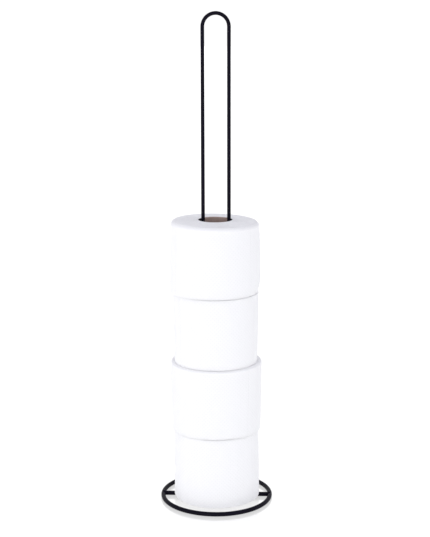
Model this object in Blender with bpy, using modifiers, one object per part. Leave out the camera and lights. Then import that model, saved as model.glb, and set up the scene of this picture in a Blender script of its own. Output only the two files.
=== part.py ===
"""Free-standing stand for spare toilet rolls, loaded with a stack of four rolls.

A round wire ring lies on the floor with a straight crossbar welded across it.
A hairpin of thinner wire, the mast, stands on the crossbar and carries the rolls on
their cardboard tubes. Each roll is a tube and the paper wound on it.

Frame: metres, +Z up, origin on the floor at the centre of the ring, X along the crossbar.
"""

import math

import bmesh
import bpy

# Driving dimensions
TOTAL_HEIGHT = 0.671
RING_RADIUS = 0.075
BASE_WIRE = 0.0060
MAST_WIRE = 0.0050
MAST_SPACING = 0.0349
ROLL_HEIGHT = 0.0967
TUBE_BORE_RADIUS = 0.0220
TUBE_WALL = 0.0010
FIT_GAP = 0.0003

# Each roll from the floor up: radius at its foot, radius at its head, rest to the mast's side, rest
# in front of the mast, and crown, by which the tube and the paper near it stand above the head's
# outer edge.
ROLLS = (
    (0.0596, 0.0584, 0.0003, 0.0035, 0.0),
    (0.0617, 0.0631, -0.0001, 0.0, 0.0),
    (0.0572, 0.0586, -0.0005, 0.0035, 0.0),
    (0.0621, 0.0603, -0.0010, 0.0, 0.0014),
)
CROWN_FLAT_RADIUS = 0.034

# Worked out from those
BASE_WIRE_RADIUS = BASE_WIRE / 2
MAST_WIRE_RADIUS = MAST_WIRE / 2
BASE_PLANE = BASE_WIRE_RADIUS
BEND_RADIUS = MAST_SPACING / 2
LEG_TOP = TOTAL_HEIGHT - MAST_WIRE_RADIUS - BEND_RADIUS
TUBE_RADIUS = TUBE_BORE_RADIUS + TUBE_WALL
PAPER_BORE_RADIUS = TUBE_RADIUS + FIT_GAP
STACK_FOOT = BASE_WIRE + FIT_GAP

# Fineness and edges
RING_STEPS = 72
WIRE_SIDES = 12
BEND_STEPS = 24
ROLL_STEPS = 64
TUBE_STEPS = 48
EDGE_RADIUS = 0.0025
EDGE_STEPS = 2
TUBE_INSET = 0.0004

collection = None
cutters = None


def clear_scene():
    """Removes every object, and makes the two collections that this part uses."""
    global collection, cutters
    for obj in list(bpy.data.objects):
        bpy.data.objects.remove(obj, do_unlink=True)
    collection = bpy.data.collections.new("toilet_roll_stand")
    cutters = bpy.data.collections.new("cutters")
    for group in (collection, cutters):
        bpy.context.scene.collection.children.link(group)


def make_material(name, colour, roughness, metallic):
    """A plain Principled material."""
    material = bpy.data.materials.new(name)
    material.use_nodes = True
    shader = material.node_tree.nodes["Principled BSDF"]
    shader.inputs["Base Color"].default_value = (*colour, 1.0)
    shader.inputs["Roughness"].default_value = roughness
    shader.inputs["Metallic"].default_value = metallic
    return material


def add_empty(name, location, parent=None):
    """A frame for the pieces of one body, placed in world coordinates."""
    empty = bpy.data.objects.new(name, None)
    collection.objects.link(empty)
    empty.empty_display_size = 0.02
    if parent is None:
        empty.location = location
    else:
        empty.parent = parent
        empty.location = tuple(a - b for a, b in zip(location, world_place(parent)))
    return empty


def world_place(empty):
    """Where an empty stands, from the locations of its parents."""
    place = [0.0, 0.0, 0.0]
    while empty is not None:
        place = [a + b for a, b in zip(place, empty.location)]
        empty = empty.parent
    return place


def add_object(name, data, material, parent):
    """A part of the stand, with its own material, in its body's frame."""
    obj = bpy.data.objects.new(name, data)
    collection.objects.link(obj)
    obj.parent = parent
    if material is not None:
        data.materials.append(material)
    return obj


def make_cutter(obj):
    """Turns an object into a hidden cutting tool."""
    for group in list(obj.users_collection):
        group.objects.unlink(obj)
    cutters.objects.link(obj)
    obj.parent = None
    obj.hide_render = True
    obj.display_type = "WIRE"
    return obj


def cut(obj, cutter):
    """Takes the cutter's shape out of the object."""
    modifier = obj.modifiers.new("cope", "BOOLEAN")
    modifier.operation = "DIFFERENCE"
    modifier.object = cutter
    modifier.solver = "EXACT"


def smooth(mesh, angle=35.0):
    """Shades round pieces smooth, and keeps their edges crisp."""
    mesh.shade_smooth()
    mesh.set_sharp_from_angle(angle=math.radians(angle))


def arc(centre, radius, start, end, steps):
    """Points on an arc in the XZ plane, both ends included, angles in degrees from +X."""
    angles = [math.radians(start + (end - start) * i / steps) for i in range(steps + 1)]
    return [(centre[0] + radius * math.cos(a), centre[1] + radius * math.sin(a)) for a in angles]


def wire_section(centre, radius, sides):
    """A wire's section as a polygon that stands on a flat, drawn clockwise from its top."""
    turn = math.tau / sides
    reach = radius / math.cos(turn / 2)
    angles = [math.pi / 2 - turn * (i + 0.5) for i in range(sides)]
    return [(centre[0] + reach * math.cos(a), centre[1] + reach * math.sin(a)) for a in angles]


def turned(name, outline, steps, material, parent):
    """A ring-shaped solid: a closed outline in the XZ plane, turned about Z."""
    mesh = bpy.data.meshes.new(name)
    edges = [(i, (i + 1) % len(outline)) for i in range(len(outline))]
    mesh.from_pydata([(x, 0.0, z) for x, z in outline], edges, [])
    obj = add_object(name, mesh, material, parent)
    screw = obj.modifiers.new("turn", "SCREW")
    screw.axis = "Z"
    screw.angle = math.tau
    screw.steps = steps
    screw.render_steps = steps
    screw.use_merge_vertices = True
    screw.merge_threshold = 0.00001
    screw.use_smooth_shade = True
    return obj


def bent_wire(name, points, radius, material, parent):
    """A wire along a row of points, as a mesh with welded end caps."""
    curve = bpy.data.curves.new(name + "_path", "CURVE")
    curve.dimensions = "3D"
    curve.bevel_depth = radius
    curve.bevel_resolution = WIRE_SIDES // 2 - 2
    curve.use_fill_caps = True
    spline = curve.splines.new("POLY")
    spline.points.add(len(points) - 1)
    for point, place in zip(spline.points, points):
        point.co = (*place, 1.0)
    path = bpy.data.objects.new(name + "_path", curve)
    collection.objects.link(path)
    graph = bpy.context.evaluated_depsgraph_get()
    mesh = bpy.data.meshes.new_from_object(path.evaluated_get(graph))
    mesh.name = name
    bpy.data.objects.remove(path, do_unlink=True)
    weld_caps(mesh)
    smooth(mesh)
    mesh.materials.clear()
    return add_object(name, mesh, material, parent)


def weld_caps(mesh):
    """Joins a converted curve's loose end caps to its walls."""
    made = bmesh.new()
    made.from_mesh(mesh)
    bmesh.ops.remove_doubles(made, verts=made.verts, dist=0.00001)
    bmesh.ops.recalc_face_normals(made, faces=made.faces)
    made.to_mesh(mesh)
    made.free()


def build_base_ring(material, parent):
    """The ring of wire that lies on the floor. Its underside is a narrow flat."""
    section = wire_section((RING_RADIUS, BASE_PLANE), BASE_WIRE_RADIUS, WIRE_SIDES)
    return turned("base_ring", section, RING_STEPS, material, parent)


def build_crossbar(material, parent):
    """The straight bar across the ring, its ends coped to the ring's wire."""
    ends = [(-RING_RADIUS, 0.0, BASE_PLANE), (RING_RADIUS, 0.0, BASE_PLANE)]
    bar = bent_wire("crossbar", ends, BASE_WIRE_RADIUS, material, parent)
    section = wire_section((RING_RADIUS, BASE_PLANE), BASE_WIRE_RADIUS + FIT_GAP, WIRE_SIDES)
    cut(bar, make_cutter(turned("ring_cutter", section, RING_STEPS, None, None)))
    return bar


def build_mast(material, parent):
    """The hairpin of wire: two legs joined by a half-round bend, its feet saddled on the crossbar."""
    bend = arc((0.0, LEG_TOP), BEND_RADIUS, 180.0, 0.0, BEND_STEPS)
    route = [(-BEND_RADIUS, BASE_PLANE), *bend, (BEND_RADIUS, BASE_PLANE)]
    mast = bent_wire("mast_loop", [(x, 0.0, z) for x, z in route], MAST_WIRE_RADIUS, material, parent)
    ends = [(-BEND_RADIUS * 2, 0.0, BASE_PLANE), (BEND_RADIUS * 2, 0.0, BASE_PLANE)]
    saddle = bent_wire("crossbar_cutter", ends, BASE_WIRE_RADIUS + FIT_GAP, None, None)
    cut(mast, make_cutter(saddle))
    return mast


def tube_outline(height):
    """The tube's wall, from the roll's foot, a little shorter than the paper at both ends."""
    low, high = TUBE_INSET, height - TUBE_INSET
    return [
        (TUBE_RADIUS, high),
        (TUBE_RADIUS, low),
        (TUBE_BORE_RADIUS, low),
        (TUBE_BORE_RADIUS, high),
    ]


def paper_outline(foot_radius, head_radius, height, crown):
    """The wound paper's section: a wall with a taper, soft outer edges and a flat or crowned head."""
    edge = height - crown - EDGE_RADIUS
    head = arc((head_radius - EDGE_RADIUS, edge), EDGE_RADIUS, 90.0, 0.0, EDGE_STEPS)
    foot = arc((foot_radius - EDGE_RADIUS, EDGE_RADIUS), EDGE_RADIUS, 0.0, -90.0, EDGE_STEPS)
    outline = [*head, *foot, (PAPER_BORE_RADIUS, 0.0), (PAPER_BORE_RADIUS, height)]
    if crown > 0:
        outline.append((CROWN_FLAT_RADIUS, height))
    return outline


def build_roll(number, shape, foot, below, tube_material, paper_material):
    """One roll: its tube, which slides on the mast, and its paper. Returns the tube's frame."""
    foot_radius, head_radius, side, forward, crown = shape
    height = ROLL_HEIGHT + crown
    lift = add_empty(f"roll_{number}_lift", (side, -forward, foot), below)
    turn = add_empty(f"roll_{number}_turn", (side, -forward, foot), lift)
    turned(f"roll_{number}_tube", tube_outline(height), TUBE_STEPS, tube_material, lift)
    outline = paper_outline(foot_radius, head_radius, height, crown)
    turned(f"roll_{number}_paper", outline, ROLL_STEPS, paper_material, turn)
    return lift


def main():
    clear_scene()
    black = make_material("black_powder_coat", (0.018, 0.016, 0.022), 0.42, 0.0)
    white = make_material("tissue_paper", (0.90, 0.90, 0.91), 0.92, 0.0)
    brown = make_material("core_board", (0.36, 0.27, 0.21), 0.90, 0.0)

    stand = add_empty("stand", (0.0, 0.0, 0.0))
    build_base_ring(black, stand)
    build_crossbar(black, stand)
    build_mast(black, stand)

    below = stand
    for number, shape in enumerate(ROLLS, start=1):
        foot = STACK_FOOT + (number - 1) * (ROLL_HEIGHT + FIT_GAP)
        below = build_roll(number, shape, foot, below, brown, white)


main()
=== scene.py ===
"""The looks of a wire toilet roll stand that holds four rolls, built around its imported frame.

One piece takes the place of each CAD node and rides on that node's body. The weld beads ride on the
stand, and each roll's loose last sheet rides on its paper. The stand is powder-coated wire, the rolls
are wound tissue on spiral-wound tubes.
Metres, +Z up, origin on the floor at the centre of the base ring.
"""

import math
from collections import namedtuple

import bpy
import numpy as np
from mathutils import Euler, Matrix, Vector


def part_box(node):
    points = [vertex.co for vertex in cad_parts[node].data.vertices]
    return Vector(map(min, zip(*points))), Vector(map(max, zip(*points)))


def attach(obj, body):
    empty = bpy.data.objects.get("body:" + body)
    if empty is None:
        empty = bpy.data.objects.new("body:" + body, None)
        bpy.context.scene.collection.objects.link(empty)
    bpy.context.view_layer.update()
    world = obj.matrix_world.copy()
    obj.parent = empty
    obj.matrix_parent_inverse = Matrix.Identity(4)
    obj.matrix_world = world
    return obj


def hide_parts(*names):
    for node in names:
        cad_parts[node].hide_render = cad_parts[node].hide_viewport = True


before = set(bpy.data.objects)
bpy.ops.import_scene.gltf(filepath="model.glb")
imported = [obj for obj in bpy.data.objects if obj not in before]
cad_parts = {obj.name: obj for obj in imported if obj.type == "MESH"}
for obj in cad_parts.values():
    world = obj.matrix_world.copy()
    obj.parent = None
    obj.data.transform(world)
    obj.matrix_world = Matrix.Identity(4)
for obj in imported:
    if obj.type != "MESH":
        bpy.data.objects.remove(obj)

TAU = math.tau

# The photograph's view
CAMERA_DISTANCE = 1.7263
CAMERA_HEIGHT = 0.6975
CAMERA_AZIMUTH = math.radians(2.29)
CAMERA_PITCH = math.radians(12.094)
CAMERA_YAW = math.radians(0.050)
CAMERA_ROLL = math.radians(-0.134)
CAMERA_LENS_MM = 87.07
CAMERA_SENSOR_MM = 36.0

# The studio. The walls and ceiling light the object, and the camera and reflections see SEEN_GLOW.
FLOOR_SIZE = 30.0
FLOOR_IOR = 3.4
FLOOR_GLOW = 0.57
WALL_GLOW = 1.25
CEILING_GLOW = 0.95
SEEN_GLOW = 1.05
KEY_PLACE = (-0.75, -2.45, 0.42)
KEY_TARGET = (0, 0, 0.22)
KEY_SIZE = (1.3, 0.9)
KEY_WATTS = 13.0

# The stand's wires and welds
WIRE_SIDES = 32
RING_STEPS = 256
BEND_STEPS = 48
STRAIGHT_STEP = 0.012
WELD_STEPS = 72
BEAD_SIDES = 16
BASE_BEAD = 0.0011
FOOT_BEAD = 0.0009
BEAD_RIPPLES = 11
BEAD_RIPPLE = 0.00012
BUTT_WELD_RISE = 0.00016
BUTT_WELD_HALF_WIDTH = 0.0016

# The tissue: its layers, embossing and perforation, and how light soaks into it
PLY = 0.00035
LAYER_PITCH = 0.00042
SHEET_LENGTH = 0.120
DOT_PITCH = 0.0052
QUILT_PITCH = 0.0208
DASH_PITCH = 0.0042
SOAK_DEPTH = 0.005
SOAK_WEIGHT = 0.8

# The wound paper. Its bore closes in on the tube, and its foot settles into the gap below it. The
# last rows of the head's and foot's rounding carry the side's finish.
ROLL_COUNT = 4
AROUND = 256
SIDE_ROWS = 60
SHOULDER_ROWS = 7
END_ROWS = 40
BORE_ROWS = 4
HEAD_ROWS_ON_SIDE = 2
FOOT_ROWS_ON_SIDE = 3
PAPER_TO_TUBE = 0.00012
SETTLING = 0.00024
CROWN_POWER = 1.6
BARREL = 0.0003
WRAP_WAVES = 0.00018
FINE_WAVES = 0.00006
DENT_SHARPNESS = 1.6
LAYER_RELIEF = 0.00016
BROAD_RELIEF = 0.00034
COVERED_END = 0.15

# The loose end of each last sheet, and the teeth that its perforation leaves
FLAP_LENGTH = 0.030
FLAP_OVERLAP = 0.004
FLAP_COLUMNS = 30
FLAP_ROWS = 70
FLAP_SKIN = 0.00022
FLAP_ROOT = 0.00015
FLAP_SHARP_EDGE = math.radians(40)
TOOTH = 0.00035
TOOTH_PITCH = 0.0021

# The tubes
TUBE_AROUND = 144
TUBE_ROWS = 60
TUBE_INSET = 0.0001
TUBE_TRIM = 0.00025
TUBE_BEND = 0.00008
LIP_RISE = 0.00012
LIP_SHARES = (0.25, 0.75)
SEAM_LEAD = 0.104
SEAM_WIDTH = 0.0088
SEAM_RISE = 0.00018

# Seeds of the random fields, to which the roll's number is added, or ten times it for the ends
WRAP_SEED = 100
FINE_SEED = 200
END_SEED = 300
RIPPLE_SEED = 400
CURL_SEED = 500
TUBE_SEED = 600

# Linear colours
COAT_DARK = (0.0030, 0.0024, 0.0068)
COAT_LIGHT = (0.0050, 0.0040, 0.0105)
CREPE_DARK = (0.812, 0.814, 0.824)
CREPE_LIGHT = (0.846, 0.848, 0.858)
TISSUE_DOT = (0.806, 0.808, 0.820)
TISSUE_SLIT = (0.785, 0.785, 0.797)
LAYERS_DARK = (0.840, 0.840, 0.852)
LAYERS_LIGHT = (0.890, 0.890, 0.898)
LAYERS_BAND = (0.78, 0.78, 0.80)
LAYERS_LINT = (0.90, 0.90, 0.905)
LAYERS_GAP = (0.74, 0.74, 0.76)
PULP_DARK = (0.300, 0.218, 0.188)
PULP_LIGHT = (0.420, 0.314, 0.276)
PULP_WARM = (0.460, 0.355, 0.315)
PULP_FLECK = (0.165, 0.120, 0.092)
BOARD_SEAM = (0.125, 0.090, 0.072)
# Painted shade, near black, on the tube's board beside the mast's legs
BOARD_PAINTED_SHADE = (0.012, 0.009, 0.010)
FLOOR_DARK = (0.235, 0.235, 0.230)
FLOOR_LIGHT = (0.245, 0.245, 0.240)
FLOOR_GLOW_COLOUR = (1.0, 1.0, 1.0, 1.0)
ROOM_COLOUR = (0.945, 0.945, 1.0, 1.0)
SEEN_COLOUR = (1.0, 1.0, 1.0, 1.0)

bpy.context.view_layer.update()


# ---------------------------------------------------------------- meshes


def mesh_object(name, points, faces, body, materials):
    """A piece made of points and faces, which rides on a body and takes its finish from a slot."""
    mesh = bpy.data.meshes.new(name)
    mesh.from_pydata(points, [], faces)
    mesh.update()
    for material in materials:
        mesh.materials.append(material)
    mesh.shade_smooth()
    piece = bpy.data.objects.new(name, mesh)
    bpy.context.scene.collection.objects.link(piece)
    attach(piece, body)
    return piece


def closed_grid(grid):
    """Points and quads of a grid of points that closes on itself both ways, like a torus."""
    around, rows = grid.shape[:2]
    i = np.arange(around)[:, None]
    j = np.arange(rows)[None, :]
    step_i = (i + 1) % around
    step_j = (j + 1) % rows
    faces = np.stack(
        [i * rows + j, step_i * rows + j, step_i * rows + step_j, i * rows + step_j], axis=-1
    )
    return grid.reshape(-1, 3), faces.reshape(-1, 4)


def closed_rows(field):
    """A field over a closed grid with its first row repeated after its last."""
    return np.concatenate([field, field[:, :1]], axis=1)


def wander(seed, count, smoothness):
    """A smooth random line of that many samples, from -1 to 1, with a knot every so many samples."""
    knots = int(count / smoothness) + 4
    levels = np.random.default_rng(seed).uniform(-1, 1, knots)
    place = np.arange(count) / smoothness
    low = place.astype(int)
    blend = place - low
    blend = blend * blend * (3 - 2 * blend)
    return levels[low] * (1 - blend) + levels[low + 1] * blend


def lobes(seed, angles, heights, count, size):
    """A smooth field round a roll: a few waves round it, each drifting with height."""
    draw = np.random.default_rng(seed)
    field = np.zeros(np.broadcast(angles, heights).shape)
    for wave in range(1, count + 1):
        phase, drift, turn = draw.uniform(0, TAU, 3)
        share = draw.uniform(0.4, 1.0) / wave
        field += share * np.sin(wave * angles + phase + 0.8 * np.sin(drift + 2.2 * heights + turn))
    return size * field


def smoothstep(low, high, value):
    """0 below low, 1 above high, and a soft rise between."""
    t = np.clip((value - low) / (high - low), 0, 1)
    return t * t * (3 - 2 * t)


def sweep(points, normals, binormals, radii, sides):
    """Rings of points round each point of a route, across its normal and binormal."""
    turns = TAU * np.arange(sides) / sides
    across = np.cos(turns)[None, :, None] * normals[:, None, :]
    along = np.sin(turns)[None, :, None] * binormals[:, None, :]
    return points[:, None, :] + radii[:, :, None] * (across + along)


def capped_tube(rings):
    """Points and faces of an open row of rings, with a flat cap on each end."""
    count, sides = rings.shape[:2]
    i = np.arange(count - 1)[:, None]
    j = np.arange(sides)[None, :]
    step = (j + 1) % sides
    walls = np.stack(
        [i * sides + j, i * sides + step, (i + 1) * sides + step, (i + 1) * sides + j], axis=-1
    )
    faces = [tuple(face) for face in walls.reshape(-1, 4)]
    faces.append(tuple(range(sides - 1, -1, -1)))
    faces.append(tuple((count - 1) * sides + k for k in range(sides)))
    return rings.reshape(-1, 3), faces


# ---------------------------------------------------------------- materials


class Surface:
    """A Principled material with a few short calls for its nodes."""

    def __init__(self, name, roughness, level=0.5):
        self.material = bpy.data.materials.new(name)
        self.material.use_nodes = True
        self.tree = self.material.node_tree
        self.shader = self.tree.nodes["Principled BSDF"]
        self.shader.inputs["Roughness"].default_value = roughness
        self.shader.inputs["Specular IOR Level"].default_value = level

    def node(self, kind, links=None, values=None, **settings):
        """Adds a node. links and values are by input name or number."""
        made = self.tree.nodes.new("ShaderNode" + kind)
        for key, value in settings.items():
            setattr(made, key, value)
        for key, value in (values or {}).items():
            made.inputs[key].default_value = value
        for key, source in (links or {}).items():
            self.tree.links.new(source, made.inputs[key])
        return made

    def out(self, kind, links=None, values=None, output=0, **settings):
        """Adds a node and gives one of its outputs."""
        return self.node(kind, links, values, **settings).outputs[output]

    def maths(self, operation, *terms):
        """A Math node: each term is a number or an output."""
        made = self.tree.nodes.new("ShaderNodeMath")
        made.operation = operation
        for place, term in enumerate(terms):
            if isinstance(term, (int, float)):
                made.inputs[place].default_value = term
            else:
                self.tree.links.new(term, made.inputs[place])
        return made.outputs[0]

    def place(self):
        """The point's place in metres."""
        return self.out("TexCoord", output="Object")

    def noise(self, scale, detail=2.0, vector=None, output="Fac", roughness=0.5):
        """Noise with about that many blobs to the metre."""
        values = {"Scale": scale, "Detail": detail, "Roughness": roughness}
        return self.out("TexNoise", {"Vector": vector or self.place()}, values, output)

    def rings(self, radius, scale, detail):
        """Noise that changes with the radius only, with about that many rings to the metre."""
        values = {"Scale": scale, "Detail": detail}
        return self.out("TexNoise", {"W": radius}, values, noise_dimensions="1D")

    def ramp(self, value, low, high, start=0.0, end=1.0):
        """A soft rise from start to end as the value goes from low to high."""
        values = {"From Min": low, "From Max": high, "To Min": start, "To Max": end}
        return self.out("MapRange", {"Value": value}, values, interpolation_type="SMOOTHSTEP")

    def mix(self, factor, first, second):
        """A colour between two, each a tuple or an output."""
        made = self.node("Mix", data_type="RGBA")
        self.tree.links.new(factor, made.inputs["Factor"])
        for place, colour in ((6, first), (7, second)):
            if isinstance(colour, tuple):
                made.inputs[place].default_value = (*colour, 1.0)
            else:
                self.tree.links.new(colour, made.inputs[place])
        return made.outputs[2]

    def bump(self, height, distance, strength=1.0, normal=None):
        """A bump from a height of 0 to 1 that stands for that distance in metres."""
        links = {"Height": height}
        if normal is not None:
            links["Normal"] = normal
        return self.out("Bump", links, {"Distance": distance, "Strength": strength})

    def colour(self, source):
        """Sets the base colour from a node's output."""
        self.tree.links.new(source, self.shader.inputs["Base Color"])

    def rough(self, source):
        """Sets the roughness from a node's output."""
        self.tree.links.new(source, self.shader.inputs["Roughness"])

    def normal(self, source):
        """Sets the normal from a node's output."""
        self.tree.links.new(source, self.shader.inputs["Normal"])


def powder_coat():
    """Satin black powder coat with the fine pebble of its cured grains."""
    coat = Surface("black_powder_coat", 0.4, level=0.05)
    grain = coat.noise(1400, detail=2.0)
    flow = coat.noise(260, detail=1.0)
    cloud = coat.noise(35, detail=3.0)
    coat.colour(coat.mix(coat.ramp(cloud, 0.3, 0.7), COAT_DARK, COAT_LIGHT))
    spread = coat.maths("ADD", coat.maths("MULTIPLY", grain, 0.5), cloud)
    coat.rough(coat.ramp(spread, 0.5, 1.1, start=0.34, end=0.48))
    pebble = coat.bump(grain, distance=0.000012)
    coat.normal(coat.bump(flow, distance=0.00003, strength=0.6, normal=pebble))
    return coat.material


def dot_rows(surface, across, up, pitch):
    """Distance from the nearest dot of a diagonal grid of embossed dots, in units of their pitch."""
    point = surface.out("CombineXYZ", {"X": across, "Y": up})
    per_pitch = (1 / pitch, 1 / pitch, 0.0)
    scaled = surface.out("VectorMath", {0: point}, {1: per_pitch}, operation="MULTIPLY")
    reach = []
    for offset in (0.0, 0.5):
        moved = surface.out("VectorMath", {0: scaled}, {1: (offset, offset, 0.0)}, operation="ADD")
        cell = surface.out("VectorMath", {0: moved}, operation="FRACTION")
        centred = surface.out("VectorMath", {0: cell}, {1: (0.5, 0.5, 0.0)}, operation="SUBTRACT")
        reach.append(surface.out("VectorMath", {0: centred}, output="Value", operation="LENGTH"))
    return surface.maths("MINIMUM", *reach)


def tissue_sheet(name, soak):
    """White tissue with embossed dots, crepe and rows of perforation. Light soaks in that deep."""
    sheet = Surface(name, 0.95, level=0.2)
    sheet.shader.inputs["Sheen Weight"].default_value = 0.12
    sheet.shader.inputs["Sheen Roughness"].default_value = 0.6
    sheet.shader.inputs["Subsurface Weight"].default_value = SOAK_WEIGHT if soak > 0 else 0.0
    sheet.shader.inputs["Subsurface Radius"].default_value = (1.0, 1.0, 1.0)
    sheet.shader.inputs["Subsurface Scale"].default_value = soak
    place = sheet.node("SeparateXYZ", {"Vector": sheet.out("UVMap", uv_map="wrap")})
    along, up = place.outputs["X"], place.outputs["Y"]
    dots = sheet.ramp(dot_rows(sheet, along, up, DOT_PITCH), 0.10, 0.24)
    quilt = sheet.ramp(dot_rows(sheet, along, up, QUILT_PITCH), 0.08, 0.40)
    stretched = sheet.out("CombineXYZ", {"X": sheet.maths("MULTIPLY", along, 6.0), "Y": up})
    crepe = sheet.noise(420, detail=3.0, vector=stretched)
    fibre = sheet.noise(2600, detail=2.0)
    from_row = sheet.maths("PINGPONG", along, SHEET_LENGTH / 2)
    dash = sheet.maths("FRACT", sheet.maths("MULTIPLY", up, 1 / DASH_PITCH))
    near_row = sheet.ramp(from_row, 0.00022, 0.00050, start=1.0, end=0.0)
    slit = sheet.maths("MULTIPLY", near_row, sheet.ramp(dash, 0.20, 0.28))
    soft = sheet.mix(sheet.ramp(crepe, 0.25, 0.75), CREPE_DARK, CREPE_LIGHT)
    pressed = sheet.mix(dots, TISSUE_DOT, soft)
    sheet.colour(sheet.mix(slit, pressed, TISSUE_SLIT))
    sheet.rough(sheet.ramp(fibre, 0.2, 0.8, start=0.88, end=0.98))
    relief = sheet.bump(sheet.maths("SUBTRACT", 1.0, slit), distance=0.0001)
    relief = sheet.bump(quilt, distance=0.00010, normal=relief)
    relief = sheet.bump(dots, distance=0.00006, normal=relief)
    relief = sheet.bump(crepe, distance=0.00005, strength=0.8, normal=relief)
    sheet.normal(sheet.bump(fibre, distance=0.00003, strength=0.7, normal=relief))
    return sheet.material


def tissue_layers():
    """The rolls' ends: the cut edges of the winding, layer on layer, a little darker between them."""
    edges = Surface("tissue_layers", 0.97, level=0.1)
    place = edges.node("SeparateXYZ", {"Vector": edges.out("UVMap", uv_map="wrap")})
    turns, radius = place.outputs["X"], place.outputs["Y"]
    layer = edges.maths("PINGPONG", edges.maths("FRACT", turns), 0.5)
    bands = edges.rings(radius, 900.0, detail=3.0)
    groups = edges.rings(radius, 190.0, detail=2.0)
    lint = edges.noise(700, detail=3.0)
    gap = edges.ramp(layer, 0.04, 0.20)
    light = edges.mix(edges.ramp(groups, 0.3, 0.7), LAYERS_DARK, LAYERS_LIGHT)
    banded = edges.mix(edges.ramp(bands, 0.2, 0.8, start=0.25), LAYERS_BAND, light)
    dusted = edges.mix(edges.ramp(lint, 0.35, 0.75, end=0.5), banded, LAYERS_LINT)
    edges.colour(edges.mix(gap, LAYERS_GAP, dusted))
    edges.rough(edges.ramp(lint, 0.2, 0.8, start=0.90))
    relief = edges.bump(gap, distance=0.00014, strength=0.8)
    relief = edges.bump(bands, distance=0.00030, strength=0.9, normal=relief)
    edges.normal(edges.bump(lint, distance=0.00012, strength=0.7, normal=relief))
    return edges.material


def core_board():
    """Grey-brown board, wound in a spiral and flecked, with painted shade, near black, where the mast's
    legs stand in it.
    """
    board = Surface("core_board", 0.9, level=0.2)
    place = board.node("SeparateXYZ", {"Vector": board.out("UVMap", uv_map="wrap")})
    turn, up = place.outputs["X"], place.outputs["Y"]
    seam = board.maths("FRACT", board.maths("SUBTRACT", board.maths("DIVIDE", up, SEAM_LEAD), turn))
    line = board.ramp(board.maths("PINGPONG", seam, 0.5), 0.002, 0.008)
    fibres = board.noise(900, detail=4.0, roughness=0.65)
    flecks = board.noise(2200, detail=1.0)
    cloud = board.noise(60, detail=2.0)
    pulp = board.mix(board.ramp(fibres, 0.3, 0.7), PULP_DARK, PULP_LIGHT)
    warm = board.mix(board.ramp(cloud, 0.3, 0.7, end=0.5), pulp, PULP_WARM)
    dark = board.mix(board.ramp(flecks, 0.66, 0.74, end=0.6), warm, PULP_FLECK)
    wound = board.mix(line, BOARD_SEAM, dark)
    # Painted shade: the board turns near black at the two sides where the mast's legs stand, for the
    # shadow in the gap between leg and tube wall.
    painted_leg_shade = board.ramp(board.maths("PINGPONG", turn, 0.25), 0.080, 0.110, start=1.0, end=0.0)
    board.colour(board.mix(painted_leg_shade, wound, BOARD_PAINTED_SHADE))
    board.rough(board.ramp(fibres, 0.2, 0.8, start=0.82, end=0.96))
    relief = board.bump(line, distance=0.0003)
    board.normal(board.bump(fibres, distance=0.00006, strength=0.8, normal=relief))
    return board.material


def studio_floor():
    """A glossy pale tabletop that glows a little."""
    floor = Surface("studio_floor", 0.1, level=0.5)
    floor.shader.inputs["IOR"].default_value = FLOOR_IOR
    cloud = floor.noise(3, detail=2.0)
    floor.colour(floor.mix(cloud, FLOOR_DARK, FLOOR_LIGHT))
    floor.rough(floor.ramp(cloud, 0.2, 0.8, start=0.10, end=0.15))
    floor.shader.inputs["Emission Color"].default_value = FLOOR_GLOW_COLOUR
    floor.shader.inputs["Emission Strength"].default_value = FLOOR_GLOW
    return floor.material


# ---------------------------------------------------------------- the stand


def stand_piece(name, points, faces, material):
    """A piece of the stand."""
    return mesh_object(name, points, faces, "stand", [material])


def ring_size():
    """The base ring's centreline radius and its wire's radius, from its CAD node."""
    low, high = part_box("base_ring")
    wire = (high.z - low.z) / 2
    return (high.x - low.x) / 2 - wire, wire


def build_base_ring(material):
    """The ring of wire, with the low bead of its butt weld at the back."""
    radius, wire = ring_size()
    angles = TAU * np.arange(RING_STEPS) / RING_STEPS
    zero = np.zeros_like(angles)
    out = np.stack([np.cos(angles), np.sin(angles), zero], axis=1)
    up = np.stack([zero, zero, zero + 1], axis=1)
    from_weld = np.abs(angles - TAU / 4) * radius
    bead = BUTT_WELD_RISE * (1 - smoothstep(0, BUTT_WELD_HALF_WIDTH, from_weld))
    upper = smoothstep(-0.9, 0.2, np.sin(TAU * np.arange(WIRE_SIDES) / WIRE_SIDES))
    radii = wire + bead[:, None] * upper[None, :]
    centre = out * radius + up * wire
    points, faces = closed_grid(sweep(centre, out, up, radii, WIRE_SIDES))
    piece = stand_piece("base_ring_wire", points, faces.tolist(), material)
    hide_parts("base_ring")


def build_crossbar(material):
    """The straight bar, which runs on into the ring's wire at both ends."""
    radius, wire = ring_size()
    count = int(2 * radius / STRAIGHT_STEP) + 1
    x = np.linspace(-radius, radius, count)
    zero = np.zeros_like(x)
    centre = np.stack([x, zero, zero + wire], axis=1)
    side = np.stack([zero, zero + 1, zero], axis=1)
    up = np.stack([zero, zero, zero + 1], axis=1)
    radii = np.full((count, WIRE_SIDES), wire)
    points, faces = capped_tube(sweep(centre, side, up, radii, WIRE_SIDES))
    piece = stand_piece("crossbar_wire", points, faces, material)
    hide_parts("crossbar")


def mast_size():
    """The mast's half spacing between leg centres, its wire's radius and its top, from its CAD node."""
    low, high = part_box("mast_loop")
    wire = (high.y - low.y) / 2
    return (high.x - low.x) / 2 - wire, wire, high.z


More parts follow.
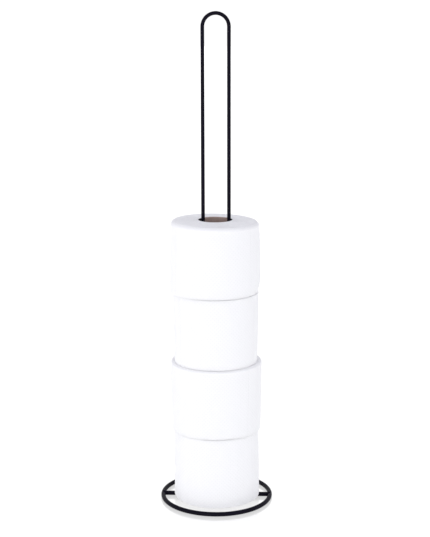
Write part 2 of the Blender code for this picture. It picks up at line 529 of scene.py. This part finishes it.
def build_mast(material):
    """The hairpin: both legs and the half-round bend, its feet sunk into the crossbar."""
    half, wire, top = mast_size()
    bar = ring_size()[1]
    bend_height = top - wire - half
    legs = int((bend_height - bar) / STRAIGHT_STEP)
    rise = np.linspace(bar, bend_height, legs, endpoint=False)
    turn = np.linspace(math.pi, 0, BEND_STEPS + 1)
    x = np.concatenate([np.full(legs, -half), half * np.cos(turn), np.full(legs, half)])
    z = np.concatenate([rise, bend_height + half * np.sin(turn), rise[::-1]])
    heading = np.concatenate([np.full(legs, TAU / 4), turn - TAU / 4, np.full(legs, -TAU / 4)])
    zero = np.zeros_like(x)
    centre = np.stack([x, zero, z], axis=1)
    across = np.stack([-np.sin(heading), zero, np.cos(heading)], axis=1)
    front = np.stack([zero, zero - 1, zero], axis=1)
    radii = np.full((len(x), WIRE_SIDES), wire)
    points, faces = capped_tube(sweep(centre, front, across, radii, WIRE_SIDES))
    piece = stand_piece("mast_wire", points, faces, material)
    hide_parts("mast_loop")


def weld_bead(name, route, outward, size, material):
    """A bead of weld metal along a closed route, with a slight ripple, ground flat at the floor."""
    count = len(route)
    ahead = np.roll(route, -1, axis=0) - np.roll(route, 1, axis=0)
    ahead /= np.linalg.norm(ahead, axis=1)[:, None]
    outward = outward - (outward * ahead).sum(axis=1)[:, None] * ahead
    outward /= np.linalg.norm(outward, axis=1)[:, None]
    side = np.cross(ahead, outward)
    ripple = size + BEAD_RIPPLE * np.cos(np.arange(count) * TAU * BEAD_RIPPLES / count)
    radii = np.repeat(ripple[:, None], BEAD_SIDES, axis=1)
    rings = sweep(route, outward, side, radii, BEAD_SIDES)
    rings[:, :, 2] = np.maximum(rings[:, :, 2], 0.0)
    points, faces = closed_grid(rings)
    stand_piece(name, points, faces.tolist(), material)


def build_welds(material):
    """Beads where the bar meets the ring on both sides, and where the mast's feet meet the bar."""
    radius, wire = ring_size()
    half, leg, _ = mast_size()
    turns = TAU * np.arange(WELD_STEPS) / WELD_STEPS
    for name, side in (("left", -1), ("right", 1)):
        reach = radius - np.sqrt(np.maximum(wire**2 - (wire * np.sin(turns)) ** 2, 0))
        route = np.stack([side * reach, wire * np.cos(turns), wire + wire * np.sin(turns)], axis=1)
        inward = np.full(WELD_STEPS, -float(side))
        outward = np.stack([inward, np.cos(turns), np.sin(turns)], axis=1)
        weld_bead(f"ring_weld_{name}", route, outward, BASE_BEAD, material)
        x = side * half + leg * np.cos(turns)
        y = leg * np.sin(turns)
        route = np.stack([x, y, wire + np.sqrt(wire**2 - y**2)], axis=1)
        outward = np.stack([np.cos(turns), np.sin(turns), np.ones(WELD_STEPS)], axis=1)
        weld_bead(f"foot_weld_{name}", route, outward, FOOT_BEAD, material)


# ---------------------------------------------------------------- the rolls

# What is particular to each roll: which way its winding runs, at what angle from +X its last sheet
# ends, how round its head and foot edges are, how far the free end of its last sheet stands off,
# how far the head's outer edge lies below its middle, and how much more or less at +X and -X.
ROLL_LOOKS = {
    1: dict(way=1, tail=84.0, head=0.0002, foot=0.0008, lift=0.0008, crown=0.0, lean=0.0),
    2: dict(way=-1, tail=98.0, head=0.0040, foot=0.0002, lift=0.0012, crown=0.0, lean=0.0),
    3: dict(way=1, tail=92.0, head=0.0002, foot=0.0002, lift=0.0009, crown=0.0, lean=0.0),
    4: dict(way=-1, tail=101.0, head=0.0060, foot=0.0002, lift=0.0010, crown=0.0014, lean=0.0010),
}

# Where handling has pressed a roll's winding in: roll, angle from +X, height above its foot,
# depth, and half the width and the height of the dent.
DENTS = (
    (4, 0.0, 0.000, 0.0030, 0.060, 0.0125),
    (4, 12.0, 0.0967, 0.0010, 0.030, 0.014),
    (2, -160.0, 0.0967, 0.0008, 0.040, 0.016),
    (3, -35.0, 0.0500, 0.0004, 0.030, 0.030),
    (1, 200.0, 0.0200, 0.0004, 0.035, 0.025),
)


RollShape = namedtuple("RollShape", "x y foot height foot_radius head_radius bore")


def roll_shape(number):
    """A roll's axis, foot, height, radius at its foot and head, and bore, from its CAD node."""
    low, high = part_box(f"roll_{number}_paper")
    centre = (low + high) / 2
    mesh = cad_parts[f"roll_{number}_paper"].data
    places = [v.co for v in mesh.vertices]
    reach = np.array([(math.hypot(p.x - centre.x, p.y - centre.y), p.z) for p in places])
    middle = (low.z + high.z) / 2
    foot_radius = reach[reach[:, 1] < middle, 0].max()
    head_radius = reach[reach[:, 1] > middle, 0].max()
    bore = reach[:, 0].min()
    height = high.z - low.z
    return RollShape(centre.x, centre.y, low.z, height, foot_radius, head_radius, bore)


def dents_of(number, angles, heights, radius):
    """How far the roll's surface is pressed in at each angle and height."""
    pressed = np.zeros(np.broadcast(angles, heights).shape)
    for roll, angle, height, depth, half_width, half_height in DENTS:
        if roll == number:
            turn = (angles - math.radians(angle) + math.pi) % TAU - math.pi
            away = (turn * radius / half_width) ** 2 + ((heights - height) / half_height) ** 2
            pressed = pressed + depth * np.exp(-away * DENT_SHARPNESS)
    return pressed


def side_radius(number, angles, share):
    """The wound surface's radius: a taper, a slight barrel, wandering wraps and dents."""
    shape = roll_shape(number)
    mean = shape.foot_radius + (shape.head_radius - shape.foot_radius) * share
    barrel = -BARREL * (2 * share - 1) ** 2
    wavy = lobes(WRAP_SEED + number, angles, share * 2.0, 5, WRAP_WAVES)
    fine = lobes(FINE_SEED + number, angles * 3, share * 5.0, 4, FINE_WAVES)
    return mean + barrel + wavy + fine - dents_of(number, angles, share * shape.height, mean)


def wound_profile(number, angles):
    """Radius and height of each point of a roll's head and foot, for every angle round it.

    The head runs from the bore out over its edge, and so does the foot, which settles into the gap
    that the CAD leaves below it.
    """
    looks = ROLL_LOOKS[number]
    shape = roll_shape(number)
    height = shape.height
    inner = shape.bore - PAPER_TO_TUBE
    columns = []
    turn = angles[:, None]
    for edge, end, sign in ((looks["head"], height, 1), (looks["foot"], -SETTLING, -1)):
        fall = looks["crown"] + looks["lean"] * np.cos(turn) if sign > 0 else 0.0 * turn
        shoulder = np.linspace(0, TAU / 4, SHOULDER_ROWS + 1)[None, :]
        at_edge = side_radius(number, turn, (end - sign * (edge + fall)) / height)
        rounded_r = at_edge - edge * (1 - np.sin(shoulder))
        rounded_z = end - sign * (fall + edge * (1 - np.cos(shoulder)))
        share = np.linspace(0, 1, END_ROWS + 1)[None, :-1]
        flat_r = inner + (rounded_r[:, :1] - inner) * share
        flat_z = end - sign * (fall * share**CROWN_POWER + end_relief(number, sign, turn, share))
        radius = np.concatenate([flat_r, rounded_r], axis=1)
        level = np.concatenate([flat_z, rounded_z], axis=1)
        columns.append((radius, level))
    return columns, inner


def end_relief(number, sign, turn, share):
    """How far each layer lies below the roll's end: never above it, looser towards the outside.

    Only the top roll's head is open. The other ends lie against something and are flatter.
    """
    seed = END_SEED + 10 * number + sign
    rings = 0.5 + 0.5 * wander(seed, END_ROWS, 2.0)[None, :]
    broad = 0.5 + 0.5 * wander(seed + 1, END_ROWS, 7.0)[None, :]
    sway = 0.5 + lobes(seed + 2, turn, share * 3.0, 4, 0.22)
    is_open = (number, sign) == (ROLL_COUNT, 1)
    loose = (0.4 + 0.9 * smoothstep(0.55, 1.0, share)) * (1.0 if is_open else COVERED_END)
    return LAYER_RELIEF * rings * loose + BROAD_RELIEF * broad * np.clip(sway, 0, 1) * loose


def build_paper(number, sheet, layers):
    """One roll's wound paper: a closed skin round the whole winding, with the last layer's step."""
    looks = ROLL_LOOKS[number]
    shape = roll_shape(number)
    height = shape.height
    way = looks["way"]
    part = np.arange(AROUND + 1) / AROUND
    angles = math.radians(looks["tail"]) + way * TAU * part
    (head, under), inner = wound_profile(number, angles)
    down = (np.arange(SIDE_ROWS) + 1) / (SIDE_ROWS + 1)
    side_z = head[1][:, -1:] + (under[1][:, -1:] - head[1][:, -1:]) * down[None, :]
    side_r = side_radius(number, angles[:, None], side_z / height)
    bore_z = np.linspace(0, height, BORE_ROWS + 2)[None, 1:-1] + 0 * angles[:, None]
    bore_r = np.full_like(bore_z, inner)
    radius = np.concatenate([head[0], side_r, under[0][:, ::-1], bore_r], axis=1)
    level = np.concatenate([head[1], side_z, under[1][:, ::-1], bore_z], axis=1)
    outer = smoothstep(0.0, 1.0, (radius - inner) / (radius.max() - inner))
    radius = radius + PLY * (part[:, None] - 1) * outer
    x = shape.x + radius * np.cos(angles)[:, None]
    y = shape.y + radius * np.sin(angles)[:, None]
    grid = np.stack([x, y, shape.foot + level], axis=-1)
    points, faces = closed_grid(grid[:-1])
    if way < 0:
        faces = faces[:, ::-1]
    piece = mesh_object(
        f"roll_{number}_wound_paper", points, faces.tolist(), f"paper_{number}",
        [sheet, layers],
    )
    map_paper(piece.data, radius, level, part, way)
    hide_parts(f"roll_{number}_paper")


def map_paper(mesh, radius, level, part, way):
    """The roll's map and finishes.

    The side has the distance back from the tail and the height, the ends have turns and radius.
    """
    rows = radius.shape[1]
    side_start = END_ROWS + SHOULDER_ROWS + 1
    is_side = np.zeros(rows, bool)
    is_side[side_start - HEAD_ROWS_ON_SIDE:side_start + SIDE_ROWS + FOOT_ROWS_ON_SIDE] = True
    girth = TAU * radius.max()
    along = np.repeat((1 - part[:, None]) * girth, rows, axis=1)
    turns = radius / LAYER_PITCH - part[:, None]
    side_face = is_side & np.roll(is_side, -1)
    along, turns, level, radius = (closed_rows(field) for field in (along, turns, level, radius))
    slots = np.where(side_face, 0, 1)
    mesh.polygons.foreach_set("material_index", np.tile(slots, AROUND).astype(np.int32))
    face_map(mesh, "wrap", along, level, turns, radius, side_face, way)


def face_map(mesh, name, side_u, side_v, end_u, end_v, side_face, way):
    """A UV map that takes each face's corners from the side's values or from the end's."""
    around, rows = side_u.shape[0] - 1, side_u.shape[1] - 1
    i = np.arange(around)[:, None]
    j = np.arange(rows)[None, :]
    corners = [(i, j), (i + 1, j), (i + 1, j + 1), (i, j + 1)]
    if way < 0:
        corners = corners[::-1]
    pairs = []
    for a, b in corners:
        u = np.where(side_face[None, :], side_u[a, b], end_u[a, b])
        v = np.where(side_face[None, :], side_v[a, b], end_v[a, b])
        pairs.append(np.stack([u, v], axis=-1))
    values = np.stack(pairs, axis=2).reshape(-1).astype(np.float32)
    mesh.uv_layers.new(name=name).data.foreach_set("uv", values)


def strip_faces():
    """Faces of a loose end: its outer side, free edge, inner side and root, then its two rims."""
    rows = FLAP_ROWS
    last = rows - 1
    count = 2 * FLAP_COLUMNS
    i = np.arange(count)[:, None]
    j = np.arange(last)[None, :]
    step = (i + 1) % count
    walls = np.stack(
        [i * rows + j, step * rows + j, step * rows + j + 1, i * rows + j + 1], axis=-1
    )
    faces = [tuple(face) for face in walls.reshape(-1, 4).tolist()]
    for k in range(FLAP_COLUMNS - 1):
        near = k * rows
        far = near + rows
        back_near = (count - 1 - k) * rows
        back_far = back_near - rows
        faces.append((near, back_near, back_far, far))
        faces.append((near + last, far + last, back_far + last, back_near + last))
    return faces


def build_flap(number, sheet):
    """The free end of a roll's last sheet: a thin strip past the step that stands off a little."""
    looks = ROLL_LOOKS[number]
    shape = roll_shape(number)
    height = shape.height
    way = looks["way"]
    top = height - looks["head"] - looks["crown"]
    share = np.linspace(looks["foot"], top, FLAP_ROWS) / height
    part = np.linspace(0, 1, FLAP_COLUMNS)
    start = math.radians(looks["tail"])
    mean = side_radius(number, np.array([[start]]), share[None, :]).mean()
    reach = np.linspace(-FLAP_OVERLAP, FLAP_LENGTH, FLAP_COLUMNS)
    angles = (start + way * reach / mean)[:, None]
    lift = looks["lift"] * smoothstep(0.15, 1.0, part)[:, None]
    ripple = 1 + 0.35 * wander(RIPPLE_SEED + number, FLAP_ROWS, 14.0)[None, :]
    end_lift = 0.5 * looks["lift"] * smoothstep(0.75, 1.0, part)[:, None]
    curl = end_lift * wander(CURL_SEED + number, FLAP_ROWS, 9.0)
    base = side_radius(number, angles, share[None, :])
    teeth = TOOTH * np.abs(np.sin(share[None, :] * height * math.pi / TOOTH_PITCH))
    turned = angles + way * teeth / mean * (part[:, None] > 0.999)
    root = FLAP_ROOT * (1 - smoothstep(-FLAP_OVERLAP, 0.001, reach))[:, None]
    outer = base + lift * ripple + curl - root
    z = shape.foot + share[None, :] * height + 0 * turned
    sides = []
    for r in (outer, outer - FLAP_SKIN):
        x = shape.x + r * np.cos(turned)
        y = shape.y + r * np.sin(turned)
        sides.append(np.stack([x, y, z], axis=-1))
    loop = np.concatenate([sides[0], sides[1][::-1]], axis=0)
    faces = strip_faces()
    if way < 0:
        faces = [face[::-1] for face in faces]
    piece = mesh_object(
        f"roll_{number}_loose_end", loop.reshape(-1, 3), faces, f"paper_{number}",
        [sheet],
    )
    piece.data.set_sharp_from_angle(angle=FLAP_SHARP_EDGE)
    back = np.concatenate([FLAP_LENGTH - reach, (FLAP_LENGTH - reach)[::-1]])
    u = np.repeat(back[:, None], FLAP_ROWS, axis=1).reshape(-1)
    v = np.tile(share * height, 2 * FLAP_COLUMNS)
    corners = np.zeros(len(piece.data.loops), np.int64)
    piece.data.loops.foreach_get("vertex_index", corners)
    values = np.stack([u[corners], v[corners]], axis=-1).reshape(-1).astype(np.float32)
    piece.data.uv_layers.new(name="wrap").data.foreach_set("uv", values)


def build_tube(number, board):
    """The roll's cardboard tube, with the raised edge of its spiral seam and slightly uneven ends."""
    low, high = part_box(f"roll_{number}_tube")
    centre = (low + high) / 2
    outer = (high.x - low.x) / 2
    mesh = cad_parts[f"roll_{number}_tube"].data
    inner = min(math.hypot(v.co.x - centre.x, v.co.y - centre.y) for v in mesh.vertices)
    height = high.z - low.z
    part = np.arange(TUBE_AROUND + 1) / TUBE_AROUND
    turn = TAU * part[:, None]
    share = np.linspace(0.0, 1.0, TUBE_ROWS)[None, :]
    trim = TUBE_TRIM * (0.5 + 0.5 * np.sin(3 * turn + number))
    z = trim + (height - 2 * trim) * share
    seam = (z / SEAM_LEAD - part[:, None]) % 1.0
    raised = SEAM_RISE * (1 - smoothstep(0.0, SEAM_WIDTH / SEAM_LEAD, seam))
    bend = lobes(TUBE_SEED + number, turn, share * 2, 3, TUBE_BEND)
    inside = inner + TUBE_INSET - raised + bend
    outside = outer - TUBE_INSET + 0 * inside
    lip = np.array(LIP_SHARES)[None, :]
    top_r = inside[:, -1:] + (outside[:, -1:] - inside[:, -1:]) * lip
    top_z = z[:, -1:] + LIP_RISE + 0 * lip
    foot_r = outside[:, :1] + (inside[:, :1] - outside[:, :1]) * lip
    foot_z = z[:, :1] - LIP_RISE + 0 * lip
    radius = np.concatenate([inside, top_r, outside[:, ::-1], foot_r], axis=1)
    level = np.concatenate([z, top_z, z[:, ::-1], foot_z], axis=1)
    x = centre.x + radius * np.cos(turn)
    y = centre.y + radius * np.sin(turn)
    grid = np.stack([x, y, low.z + level], axis=-1)
    points, faces = closed_grid(grid[:-1])
    faces = faces[:, ::-1]
    piece = mesh_object(
        f"roll_{number}_core", points, faces.tolist(), f"tube_{number}", [board]
    )
    rows = radius.shape[1]
    every = np.ones(rows, bool)
    u = closed_rows(np.repeat(part[:, None], rows, axis=1))
    v = closed_rows(level)
    face_map(piece.data, "wrap", u, v, u, v, every, -1)
    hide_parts(f"roll_{number}_tube")


# ---------------------------------------------------------------- the studio


def build_floor():
    """The glossy white floor, which runs out of sight."""
    mesh = bpy.data.meshes.new("floor")
    half = FLOOR_SIZE / 2
    corners = [(-half, -half, 0), (half, -half, 0), (half, half, 0), (-half, half, 0)]
    mesh.from_pydata(corners, [], [(0, 1, 2, 3)])
    mesh.materials.append(studio_floor())
    floor = bpy.data.objects.new("floor", mesh)
    bpy.context.scene.collection.objects.link(floor)


def build_key_lamp():
    """One large soft lamp in front on the left."""
    data = bpy.data.lights.new("key", "AREA")
    data.shape = "RECTANGLE"
    data.size, data.size_y = KEY_SIZE
    data.energy = KEY_WATTS
    lamp = bpy.data.objects.new("key", data)
    lamp.location = KEY_PLACE
    aim = Vector(KEY_TARGET) - Vector(KEY_PLACE)
    lamp.rotation_euler = aim.to_track_quat("-Z", "Y").to_euler()
    bpy.context.scene.collection.objects.link(lamp)


def build_room():
    """A white room that glows, less from overhead. The camera and reflections see it evenly white."""
    world = bpy.data.worlds.new("studio")
    world.use_nodes = True
    tree = world.node_tree
    ways = tree.nodes.new("ShaderNodeTexCoord")
    parts = tree.nodes.new("ShaderNodeSeparateXYZ")
    tree.links.new(ways.outputs["Generated"], parts.inputs[0])
    fall = tree.nodes.new("ShaderNodeMapRange")
    fall.inputs["From Max"].default_value = 1.0
    fall.inputs["To Min"].default_value = WALL_GLOW
    fall.inputs["To Max"].default_value = CEILING_GLOW
    tree.links.new(parts.outputs["Z"], fall.inputs["Value"])
    glow = tree.nodes["Background"]
    glow.inputs["Color"].default_value = ROOM_COLOUR
    tree.links.new(fall.outputs[0], glow.inputs["Strength"])
    seen = tree.nodes.new("ShaderNodeBackground")
    seen.inputs["Color"].default_value = SEEN_COLOUR
    seen.inputs["Strength"].default_value = SEEN_GLOW
    path = tree.nodes.new("ShaderNodeLightPath")
    mixed = tree.nodes.new("ShaderNodeMixShader")
    bright = tree.nodes.new("ShaderNodeMath")
    bright.operation = "MAXIMUM"
    tree.links.new(path.outputs["Is Camera Ray"], bright.inputs[0])
    tree.links.new(path.outputs["Is Glossy Ray"], bright.inputs[1])
    tree.links.new(bright.outputs[0], mixed.inputs["Fac"])
    tree.links.new(glow.outputs[0], mixed.inputs[1])
    tree.links.new(seen.outputs[0], mixed.inputs[2])
    tree.links.new(mixed.outputs[0], tree.nodes["World Output"].inputs["Surface"])
    bpy.context.scene.world = world


def build_camera():
    """The camera, where the photograph was taken from."""
    data = bpy.data.cameras.new("camera")
    data.lens = CAMERA_LENS_MM
    data.sensor_width = CAMERA_SENSOR_MM
    camera = bpy.data.objects.new("camera", data)
    camera.location = (
        CAMERA_DISTANCE * math.sin(CAMERA_AZIMUTH),
        -CAMERA_DISTANCE * math.cos(CAMERA_AZIMUTH),
        CAMERA_HEIGHT,
    )
    heading = Euler((math.pi / 2 - CAMERA_PITCH, 0.0, CAMERA_AZIMUTH + CAMERA_YAW)).to_matrix()
    camera.rotation_euler = (heading @ Matrix.Rotation(CAMERA_ROLL, 3, "Z")).to_euler()
    bpy.context.scene.collection.objects.link(camera)
    bpy.context.scene.camera = camera


def build_object():
    """Every piece of the stand and its rolls."""
    coat = powder_coat()
    build_base_ring(coat)
    build_crossbar(coat)
    build_mast(coat)
    build_welds(coat)
    wound = tissue_sheet("wound_tissue", SOAK_DEPTH)
    loose = tissue_sheet("loose_tissue", 0.0)
    layers = tissue_layers()
    board = core_board()
    for number in range(1, ROLL_COUNT + 1):
        build_paper(number, wound, layers)
        build_flap(number, loose)
        build_tube(number, board)


build_camera()
build_object()
build_floor()
build_room()
build_key_lamp()
bpy.context.scene.view_settings.view_transform = "Standard"
